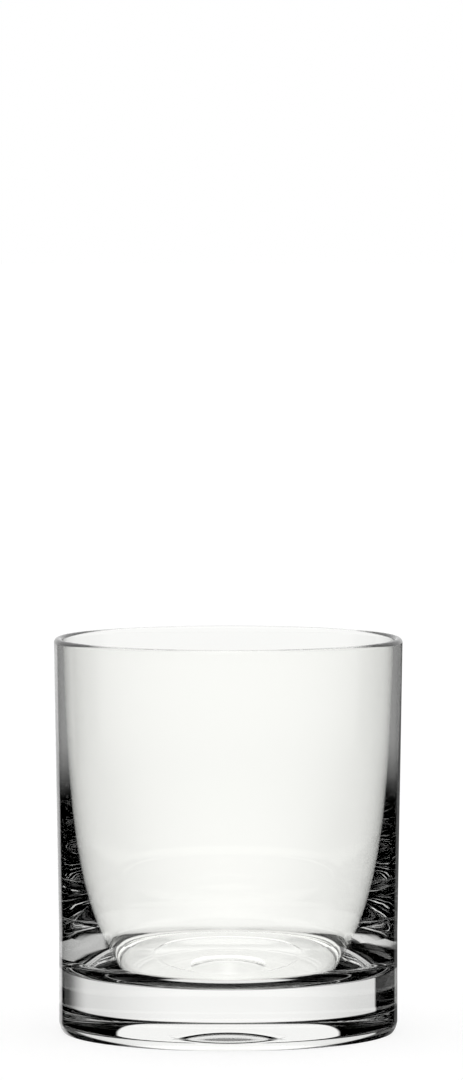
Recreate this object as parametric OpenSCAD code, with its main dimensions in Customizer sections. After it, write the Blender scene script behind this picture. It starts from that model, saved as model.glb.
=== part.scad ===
// Whiskey tumbler: a plain, heavy-based drinking glass formed from one gob of clear glass.
// Origin at the centre of the footprint, +Z up, millimetres.
// The whole glass is one lathe section turned about +Z, so every surface is a true surface of revolution.

/* [Overall] */
// Height from the table to the top of the rim
glass_h = 95; // [80:0.5:110]
// Outside diameter just below the rim
mouth_d = 84; // [74:0.5:90]
// Outside diameter of the straight band round the base
base_d = 81.7; // [72:0.1:88]
// Height of that straight band, above which the wall tapers out to the mouth
band_h = 24; // [18:0.5:40]

/* [Base] */
// Thickness of the solid glass from the table to the middle of the inside floor
floor_z = 13.3; // [8:0.1:20]
// Radius of the curve that eases the outside in at the heel
heel_r = 4.5; // [2:0.25:6]
// Degrees that this curve turns through before it meets the flat foot at an edge
heel_turn = 38; // [25:1:85]
// Radius of the small hollow in the middle of the underside
punt_r = 9.5; // [6:0.5:20]
// Depth of that hollow at its middle
punt_depth = 1.75; // [0.5:0.05:2.5]

/* [Wall] */
// Thickness that the wall thins to near the rim
rim_wall = 1.8; // [1.2:0.1:3]
// Glass added to that thickness at the height of the inside floor
wall_gain = 10; // [6:0.5:14]
// Height over which the added glass falls to 37% of itself
wall_decay = 22; // [14:0.5:26]
// Radius of the inside corner between floor and wall
corner_r = 6.5; // [4:0.5:12]

/* [Hidden] */

// Colour of clear glass with the faintest grey-green cast
glass_colour = [0.86, 0.91, 0.90, 0.35];
// Segments round the axis
turn_steps = 180;
// Points along each curve of the section
heel_steps = 10;
corner_steps = 14;
wall_steps = 28;
rim_steps = 12;
punt_steps = 12;

base_r = base_d / 2;
mouth_r = mouth_d / 2;

// The underside hollow is a cap of this sphere
punt_sphere_r = (punt_r * punt_r + punt_depth * punt_depth) / (2 * punt_depth);

// Outside radius at height z: straight band, then a straight taper
function outer_r(z) = z < band_h ? base_r : base_r + (mouth_r - base_r) * (z - band_h) / (glass_h - band_h);

// Wall thickness at height z: thin at the rim and swelling smoothly towards the floor
function wall_t(z) = rim_wall + wall_gain * exp(-(z - floor_z) / wall_decay);

// Inside radius at height z, above the rounded corner
function inner_r(z) = outer_r(z) - wall_t(z);

// Lean of the inside wall from the vertical at height z, in degrees
function inner_lean(z) = atan((inner_r(z + 0.05) - inner_r(z - 0.05)) / 0.1);

// Height at which the corner arc meets the wall: the arc turns up until it leans as the wall does
function corner_top(z, rounds) =
    rounds == 0 ? z : corner_top(floor_z + corner_r * (1 - sin(inner_lean(z))), rounds - 1);

corner_z = corner_top(floor_z + corner_r, 12);
corner_lean = inner_lean(corner_z);
corner_x = inner_r(corner_z) - corner_r * cos(corner_lean);

// The rim is a half round that spans the wall
rim_r = wall_t(glass_h) / 2;
rim_z = glass_h - rim_r;
rim_x = outer_r(rim_z) - rim_r;

// Points of an arc about (x, z) from angle a to angle b
function arc(x, z, r, a, b, steps) =
    [for (i = [0 : steps]) let (t = a + (b - a) * i / steps) [x + r * cos(t), z + r * sin(t)]];

// Underside hollow, from the axis out to the flat ring that the glass stands on
punt_points = [
    for (i = [0 : punt_steps])
        let (x = punt_r * i / punt_steps)
        [x, punt_depth - punt_sphere_r + sqrt(punt_sphere_r * punt_sphere_r - x * x)]
];

// Foot and outside wall up to the rim
outside_points = concat(
    arc(base_r - heel_r, heel_r * sin(heel_turn), heel_r, -heel_turn, 0, heel_steps),
    [[base_r, band_h]]
);

// Half round over the rim
rim_points = arc(rim_x, rim_z, rim_r, 0, 180, rim_steps);

// Inside wall, from the rim down to the corner
inside_points = [
    for (i = [1 : wall_steps])
        let (z = rim_z + (corner_z - rim_z) * i / wall_steps)
        [inner_r(z), z]
];

// Rounded corner, turning into the flat inside floor
corner_points = arc(corner_x, floor_z + corner_r, corner_r, -corner_lean, -90, corner_steps);

section_points = concat(
    punt_points,
    outside_points,
    rim_points,
    inside_points,
    corner_points,
    [[0, floor_z]]
);

// The glass: base, wall and rim in one turned solid
module tumbler() {
    color(glass_colour)
        rotate_extrude($fn = turn_steps)
            polygon(section_points);
}

tumbler();
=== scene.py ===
"""Whiskey tumbler: the looks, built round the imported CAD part. Metres, +Z up, the foot on z = 0."""

import math

import bmesh
import bpy
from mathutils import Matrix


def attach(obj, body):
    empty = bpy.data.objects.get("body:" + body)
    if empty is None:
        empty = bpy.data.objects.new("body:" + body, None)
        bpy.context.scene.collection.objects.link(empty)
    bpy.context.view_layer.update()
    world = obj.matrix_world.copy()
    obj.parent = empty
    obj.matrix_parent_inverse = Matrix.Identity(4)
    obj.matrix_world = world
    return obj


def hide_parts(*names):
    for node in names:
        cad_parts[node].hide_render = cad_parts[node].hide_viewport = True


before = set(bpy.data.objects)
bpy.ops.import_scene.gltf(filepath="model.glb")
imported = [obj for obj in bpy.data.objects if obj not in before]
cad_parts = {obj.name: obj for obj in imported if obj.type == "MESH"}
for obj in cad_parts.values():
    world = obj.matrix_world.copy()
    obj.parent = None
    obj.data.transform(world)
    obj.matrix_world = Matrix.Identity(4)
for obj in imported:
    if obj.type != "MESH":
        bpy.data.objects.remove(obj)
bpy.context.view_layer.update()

MM = 0.001

# The glass, in millimetres, as the CAD part has it
GLASS_H = 95.0
MOUTH_R = 42.0
BASE_R = 40.85
BAND_H = 24.0
FLOOR_Z = 13.3
HEEL_R = 4.5
HEEL_TURN = math.radians(38)
PUNT_R = 9.5
PUNT_DEPTH = 1.75
RIM_WALL = 1.8
WALL_GAIN = 10.0
WALL_DECAY = 22.0
CORNER_R = 6.5

# A shallow ring pressed into the inside floor, too fine for the CAD part
RING_R = 18.5
RING_WIDTH = 1.6
RING_DEPTH = 0.05

# The mesh: steps round the axis, and along each curve of the section
TURN_STEPS = 384
PUNT_STEPS = 24
HEEL_STEPS = 24
RIM_STEPS = 24
WALL_STEPS = 80
CORNER_STEPS = 40
RING_STEPS = 16
# Rounds that settle the height at which the corner meets the wall
CORNER_ROUNDS = 12
# Straights longer than this get points at HOLD from their ends, and every STRAIGHT_STEP between
LONG_STRAIGHT = 1.5
STRAIGHT_STEP = 4.0
HOLD = 0.02
# An edge ring where the section turns more than this is sharp
SHARP_TURN = math.radians(9)

# The glass's material
IOR = 1.52
GLASS_TINT = (0.992, 0.995, 0.978, 1)
RIPPLE_SQUEEZE = (0.03, 0.03, 1.0)
RIPPLE_SCALE = 220
RIPPLE_HEIGHT = 0.000004
SCUFF_TOP = 0.0002
SCUFF_SCALE = 900
SCUFF_AMOUNT = (0.64, 0.72)
SCUFF_ROUGHNESS = 0.12

# The floor, just under the foot
FLOOR_RADIUS = 9
FLOOR_DROP = 0.00002
FLOOR_SHADE = (0.4, 0.4, 0.4, 1)
FLOOR_GLOW = 0.64

# The camera: a long lens in front of the glass
LENS = 238
SENSOR = 36
CAMERA_PLACE = (0.00079, -1.715, 0.220)
CAMERA_TILT = 0.0591

# Enough for light to leave the thick wall
BOUNCES = 32
DEGREES = 180 / math.pi


def outer_r(z):
    """Outside radius at height z: a straight band, then a straight taper out to the mouth."""
    if z < BAND_H:
        return BASE_R
    return BASE_R + (MOUTH_R - BASE_R) * (z - BAND_H) / (GLASS_H - BAND_H)


def wall_t(z):
    """Wall thickness at height z."""
    return RIM_WALL + WALL_GAIN * math.exp(-(z - FLOOR_Z) / WALL_DECAY)


def inner_r(z):
    """Inside radius at height z, above the rounded corner."""
    return outer_r(z) - wall_t(z)


def inner_lean(z):
    """Lean of the inside wall from the vertical, in radians."""
    return math.atan((inner_r(z + 0.05) - inner_r(z - 0.05)) / 0.1)


def arc(x, z, r, a, b, steps):
    """Points of an arc about (x, z) from angle a to angle b."""
    return [
        (x + r * math.cos(a + (b - a) * i / steps), z + r * math.sin(a + (b - a) * i / steps))
        for i in range(steps + 1)
    ]


def section():
    """The lathe section from the axis under the foot, out, up, over the rim and back to the axis inside."""
    punt_sphere = (PUNT_R**2 + PUNT_DEPTH**2) / (2 * PUNT_DEPTH)
    points = [
        (x, PUNT_DEPTH - punt_sphere + math.sqrt(punt_sphere**2 - x * x))
        for x in (PUNT_R * i / PUNT_STEPS for i in range(PUNT_STEPS + 1))
    ]
    points += arc(BASE_R - HEEL_R, HEEL_R * math.sin(HEEL_TURN), HEEL_R, -HEEL_TURN, 0, HEEL_STEPS)
    points.append((BASE_R, BAND_H))
    rim_r = wall_t(GLASS_H) / 2
    rim_z = GLASS_H - rim_r
    points += arc(outer_r(rim_z) - rim_r, rim_z, rim_r, 0, math.pi, RIM_STEPS)
    corner_z = FLOOR_Z + CORNER_R
    for _ in range(CORNER_ROUNDS):
        corner_z = FLOOR_Z + CORNER_R * (1 - math.sin(inner_lean(corner_z)))
    lean = inner_lean(corner_z)
    corner_x = inner_r(corner_z) - CORNER_R * math.cos(lean)
    points += [
        (inner_r(z), z)
        for z in (rim_z + (corner_z - rim_z) * i / WALL_STEPS for i in range(1, WALL_STEPS + 1))
    ]
    points += arc(corner_x, FLOOR_Z + CORNER_R, CORNER_R, -lean, -math.pi / 2, CORNER_STEPS)[1:]
    for i in range(RING_STEPS + 1):  # the ring, a smooth dip across RING_WIDTH
        t = i / RING_STEPS
        sunk = RING_DEPTH * (1 - math.cos(2 * math.pi * t)) / 2
        points.append((RING_R + RING_WIDTH * (0.5 - t), FLOOR_Z - sunk))
    points.append((0.0, FLOOR_Z))
    return points


def hold_straights(points):
    """Adds points close to both ends of each long straight, so that shading normals bend only there."""
    held = [points[0]]
    for a, b in zip(points, points[1:]):
        length = math.dist(a, b)
        if length > LONG_STRAIGHT:
            steps = max(1, round(length / STRAIGHT_STEP))
            stops = [HOLD / length] + [i / steps for i in range(1, steps)] + [1 - HOLD / length]
            held += [(a[0] + (b[0] - a[0]) * t, a[1] + (b[1] - a[1]) * t) for t in stops]
        held.append(b)
    return held


def turn_at(points, i):
    """How far the section turns at point i, in radians."""
    if i in (0, len(points) - 1):
        return 0.0
    (x0, z0), (x1, z1), (x2, z2) = points[i - 1 : i + 2]
    turn = math.atan2(z2 - z1, x2 - x1) - math.atan2(z1 - z0, x1 - x0)
    return abs((turn + math.pi) % (2 * math.pi) - math.pi)


def lathe(name, points):
    """A closed surface of revolution about +Z from section points that start and end on the axis."""
    points = hold_straights(points)
    bm = bmesh.new()
    rings = []
    for x, z in points:
        if x < 1e-6:
            rings.append([bm.verts.new((0, 0, z * MM))])
        else:
            rings.append(
                [
                    bm.verts.new(
                        (
                            x * MM * math.cos(2 * math.pi * i / TURN_STEPS),
                            x * MM * math.sin(2 * math.pi * i / TURN_STEPS),
                            z * MM,
                        )
                    )
                    for i in range(TURN_STEPS)
                ]
            )
    for lower, upper in zip(rings, rings[1:]):
        for i in range(TURN_STEPS):
            j = (i + 1) % TURN_STEPS
            if len(lower) == 1:
                bm.faces.new((lower[0], upper[j], upper[i]))
            elif len(upper) == 1:
                bm.faces.new((lower[i], lower[j], upper[0]))
            else:
                bm.faces.new((lower[i], lower[j], upper[j], upper[i]))
    bmesh.ops.recalc_face_normals(bm, faces=bm.faces)
    for face in bm.faces:
        face.smooth = True
    for i, ring in enumerate(rings):
        if len(ring) > 1 and turn_at(points, i) > SHARP_TURN:
            for a, b in zip(ring, ring[1:] + ring[:1]):
                bm.edges.get((a, b)).smooth = False
    mesh = bpy.data.meshes.new(name)
    bm.to_mesh(mesh)
    bm.free()
    obj = bpy.data.objects.new(name, mesh)
    bpy.context.scene.collection.objects.link(obj)
    return obj


class Nodes:
    """A few words for writing a node tree as formulas. Values are sockets or numbers."""

    def __init__(self, tree):
        self.tree = tree

    def new(self, kind, **settings):
        node = self.tree.nodes.new(kind)
        for key, value in settings.items():
            setattr(node, key, value)
        return node

    def link(self, value, socket):
        if isinstance(value, bpy.types.NodeSocket):
            self.tree.links.new(value, socket)
        else:
            socket.default_value = value

    def math(self, operation, *values):
        node = self.new("ShaderNodeMath", operation=operation)
        for value, socket in zip(values, node.inputs):
            self.link(value, socket)
        return node.outputs[0]

    def add(self, a, b):
        return self.math("ADD", a, b)

    def mul(self, a, b):
        return self.math("MULTIPLY", a, b)

    def most(self, a, b):
        return self.math("MAXIMUM", a, b)

    def over(self, a, b):
        """1 where a is more than b, and 0 elsewhere."""
        return self.math("GREATER_THAN", a, b)

    def ramp(self, value, start, end, low, high):
        """low up to start, high from end on, and a smooth step between."""
        node = self.new("ShaderNodeMapRange", interpolation_type="SMOOTHSTEP")
        keys = ("Value", "From Min", "From Max", "To Min", "To Max")
        for v, key in zip((value, start, end, low, high), keys):
            self.link(v, node.inputs[key])
        return node.outputs["Result"]

    def noise(self, place, scale, detail):
        node = self.new("ShaderNodeTexNoise")
        self.link(place, node.inputs["Vector"])
        node.inputs["Scale"].default_value = scale
        node.inputs["Detail"].default_value = detail
        return node.outputs["Fac"]

    def pick(self, condition, yes, no):
        """yes where condition is 1, no where it is 0, and a mix between."""
        node = self.new("ShaderNodeMix", data_type="FLOAT")
        for v, key in zip((condition, no, yes), ("Factor", "A", "B")):
            self.link(v, node.inputs[key])
        return node.outputs["Result"]


def glass_material():
    """Clear glass with the faint level ripples that turning leaves, and fine scuffs where the foot stands."""
    mat = bpy.data.materials.new("clear_glass")
    mat.use_nodes = True
    shader = mat.node_tree.nodes["Principled BSDF"]
    shader.inputs["Base Color"].default_value = GLASS_TINT
    shader.inputs["IOR"].default_value = IOR
    shader.inputs["Transmission Weight"].default_value = 1.0
    n = Nodes(mat.node_tree)
    place = n.new("ShaderNodeTexCoord").outputs["Object"]

    # Ripples: noise stretched sideways, so that its swells lie level round the wall
    level = n.new("ShaderNodeMapping")
    n.link(place, level.inputs["Vector"])
    level.inputs["Scale"].default_value = RIPPLE_SQUEEZE
    ripples = n.noise(level.outputs["Vector"], RIPPLE_SCALE, 2)
    bump = n.new("ShaderNodeBump")
    bump.inputs["Strength"].default_value = 1.0
    bump.inputs["Distance"].default_value = RIPPLE_HEIGHT
    n.link(ripples, bump.inputs["Height"])
    n.link(bump.outputs["Normal"], shader.inputs["Normal"])

    # Scuffs: fine marks on the foot alone
    height = n.new("ShaderNodeSeparateXYZ")
    n.link(place, height.inputs[0])
    foot = n.ramp(height.outputs["Z"], SCUFF_TOP * 0.5, SCUFF_TOP, 1.0, 0.0)
    scuffs = n.ramp(n.noise(place, SCUFF_SCALE, 4), *SCUFF_AMOUNT, 0.0, SCUFF_ROUGHNESS)
    n.link(n.mul(foot, scuffs), shader.inputs["Roughness"])
    return mat


class Room:
    """Where a ray goes, and what stands there: a table, a bright back wall, a lamp and two dark cards.

    Angles are in degrees. el is above the horizon, az is from the wall behind the glass towards +X, and wide
    is az without its sign. crossed is 1 for a ray that has gone through both walls of the bowl.
    """

    def __init__(self, n, path):
        way = n.new("ShaderNodeSeparateXYZ")
        n.link(n.new("ShaderNodeTexCoord").outputs["Generated"], way.inputs[0])
        self.x, self.y, z = way.outputs
        self.el = el = n.mul(n.math("ARCSINE", z), DEGREES)
        self.az = az = n.mul(n.math("ARCTAN2", self.x, self.y), DEGREES)
        self.wide = wide = n.math("ABSOLUTE", az)
        self.crossed = n.over(path["Transmission Depth"], 3)
        self.glossy = path["Glossy Depth"]

        # The cards are narrow and low where they meet the table, and wider above its far edge
        open_side = n.ramp(wide, 74, 86, 0.0, 1.0)
        near_table = n.ramp(el, -14, -11, 1.0, 0.0)
        low_card = n.mul(n.ramp(az, 44, 65, 1.0, 0.1), n.ramp(az, -51, -49, 0.0, 1.0))
        table = n.mul(low_card, n.ramp(wide, 8, 40, 1.0, 0.78))
        self.table = n.most(table, n.most(open_side, near_table))
        high_card = n.most(n.ramp(wide, 29.5, 31, 1.0, 0.0), open_side)
        self.overhead = n.ramp(el, 50, 60, 0.0, 1.0)
        self.wall = n.add(n.mul(high_card, n.ramp(el, 38, 42, 1.0, 0.0)), self.overhead)


def straight_light(n, room):
    """What is seen straight through the bowl, and straight through the solid base."""
    # The table's far edge arches down to the cards, and the base shows dark above it
    arch = n.mul(n.mul(room.az, room.az), n.ramp(room.wide, 74, 86, 0.0045, 0.0))
    above_edge = n.ramp(n.add(room.el, arch), 14, 17, 0.0, 1.0)
    through_bowl = n.ramp(room.wide, 0, 6, 1.09, 0.97)
    through_base = n.pick(above_edge, 0.0, room.table)
    # From high above, the glass is a little darker than the floor
    return n.mul(n.pick(room.crossed, through_bowl, through_base), n.ramp(room.el, -62, -45, 0.84, 1.0))


def once_light(n, room):
    """After one inside reflection: the near table is dark, and what lies right below is bright."""
    below = n.mul(n.ramp(room.el, -60, -50, 0.9, 0.0), n.ramp(room.y, -0.02, 0.12, 1.0, 0.0))
    far_table = n.mul(n.ramp(room.el, -14, -9, 0.0, 0.55), room.table)
    return n.add(below, n.pick(n.ramp(room.el, 1, 5, 0.0, 1.0), room.wall, far_table))


def few_light(n, room):
    """After two to six: the back wall again up to three, and then low side panels in the foot of the wall."""
    panel_left = n.mul(n.ramp(room.az, 50, 64, 0.0, 0.55), n.ramp(room.el, 13, 16, 1.0, 0.0))
    panel_right = n.mul(n.ramp(room.az, -64, -50, 0.75, 0.0), n.ramp(room.el, 5, 7, 1.0, 0.0))
    panel = n.mul(n.add(panel_left, panel_right), n.ramp(room.el, -1, 2, 0.0, 1.0))
    panel = n.add(panel, n.ramp(room.el, -26, -18, 0.7, 0.0))
    back = n.mul(n.ramp(room.wide, 50, 60, 1.0, 0.0), n.ramp(room.el, 12, 20, 0.0, 1.0))
    back = n.mul(back, n.pick(room.crossed, n.ramp(room.el, 28, 36, 1.3, 0.3), 0.65))
    lamp = n.mul(room.overhead, n.pick(room.crossed, 1.3, 0.3))
    return n.add(lamp, n.pick(n.over(room.glossy, 3), panel, back))


def many_light(n, room):
    """After more: a grey band high up, which the thin upper wall pipes round, and thin stray lights."""
    band = n.mul(n.ramp(room.el, 35, 42, 0.0, 0.30), n.ramp(room.el, 50, 56, 1.0, 0.0))
    place = n.new("ShaderNodeCombineXYZ")
    n.link(n.mul(room.az, 0.01), place.inputs[0])
    n.link(room.el, place.inputs[1])
    stray = n.ramp(n.noise(place.outputs[0], 0.35, 0), 0.66, 0.69, 0.0, 0.9)
    stray = n.mul(stray, n.ramp(room.el, 36, 38, 1.0, 0.0))
    return n.add(n.add(band, stray), n.ramp(room.el, -24, -18, 0.7, 0.0))


def glance_light(n, room):
    """What the bowl lets through stays bright after a reflection or two in the base."""
    glance = n.add(n.ramp(room.el, -5, 5, 0.4, 1.0), n.ramp(room.el, 20, 28, 0.0, 0.35))
    return n.add(glance, n.ramp(room.el, -38, -32, 0.9, 0.0))


def outside_light(n, room):
    """What the outside mirrors: the wall's end at a glance, the room over the rim, the table by the foot."""
    edge = n.mul(n.ramp(room.wide, 21, 26, 1.0, 0.0), n.ramp(room.x, 0.03, 0.1, 0.9, 0.15))
    outside = n.most(edge, n.ramp(room.el, -5, -2, 0.0, 0.9))
    foot_glow = n.mul(n.ramp(room.el, -55, -45, 3.0, 0.0), n.ramp(room.el, -72, -64, 0.0, 1.0))
    return n.add(outside, foot_glow)


def studio_world():
    """The studio, as one world light.

    The camera and the floor see even white. A ray that has met the glass sees the room, which stays where it
    is in every view. How bright a ray finds it also depends on how often that ray was refracted and
    reflected, which no real studio does. The glass's dark tones come from this light.
    """
    world = bpy.data.worlds.new("studio")
    world.use_nodes = True
    world.cycles.sampling_method = "NONE"
    bpy.context.scene.world = world
    n = Nodes(world.node_tree)
    path = n.new("ShaderNodeLightPath").outputs
    room = Room(n, path)

    some = n.pick(n.over(room.glossy, 1), few_light(n, room), once_light(n, room))
    inside = n.pick(n.over(room.glossy, 6), many_light(n, room), some)
    clear = n.mul(room.crossed, n.math("LESS_THAN", room.glossy, 3))
    inside = n.pick(clear, glance_light(n, room), inside)
    mirrored = n.pick(n.over(path["Transmission Depth"], 0), inside, outside_light(n, room))
    seen = n.pick(n.over(room.glossy, 0), mirrored, straight_light(n, room))
    plain = n.most(path["Is Camera Ray"], n.over(path["Diffuse Depth"], 0))
    n.link(n.pick(plain, 1.0, seen), world.node_tree.nodes["Background"].inputs["Color"])


def floor():
    """A pale floor that the glass's own rays pass through, so that they see the room."""
    bpy.ops.mesh.primitive_circle_add(
        vertices=128, radius=FLOOR_RADIUS, fill_type="NGON", location=(0, 0, -FLOOR_DROP)
    )
    obj = bpy.context.object
    obj.name = "floor"
    mat = bpy.data.materials.new("floor")
    mat.use_nodes = True
    shader = mat.node_tree.nodes["Principled BSDF"]
    shader.inputs["Base Color"].default_value = FLOOR_SHADE
    shader.inputs["Emission Color"].default_value = (1, 1, 1, 1)
    shader.inputs["Emission Strength"].default_value = FLOOR_GLOW
    shader.inputs["Roughness"].default_value = 1
    shader.inputs["Specular IOR Level"].default_value = 0
    obj.data.materials.append(mat)
    obj.visible_transmission = False
    obj.visible_glossy = False


def camera():
    """A little above the rim, tilted slightly down."""
    cam = bpy.data.cameras.new("camera")
    cam.lens = LENS
    cam.sensor_width = SENSOR
    cam.clip_start = 0.05
    cam.clip_end = 50
    obj = bpy.data.objects.new("camera", cam)
    obj.location = CAMERA_PLACE
    obj.rotation_euler = (math.pi / 2 - CAMERA_TILT, 0, 0)
    bpy.context.scene.collection.objects.link(obj)
    bpy.context.scene.camera = obj


glass = lathe("tumbler_glass", section())
glass.data.materials.append(glass_material())
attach(glass, "root")
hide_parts("tumbler")
floor()
studio_world()
camera()

scene = bpy.context.scene
scene.view_settings.view_transform = "Standard"
scene.cycles.max_bounces = BOUNCES
scene.cycles.transmission_bounces = BOUNCES
scene.cycles.glossy_bounces = BOUNCES
scene.cycles.caustics_reflective = True
scene.cycles.caustics_refractive = True
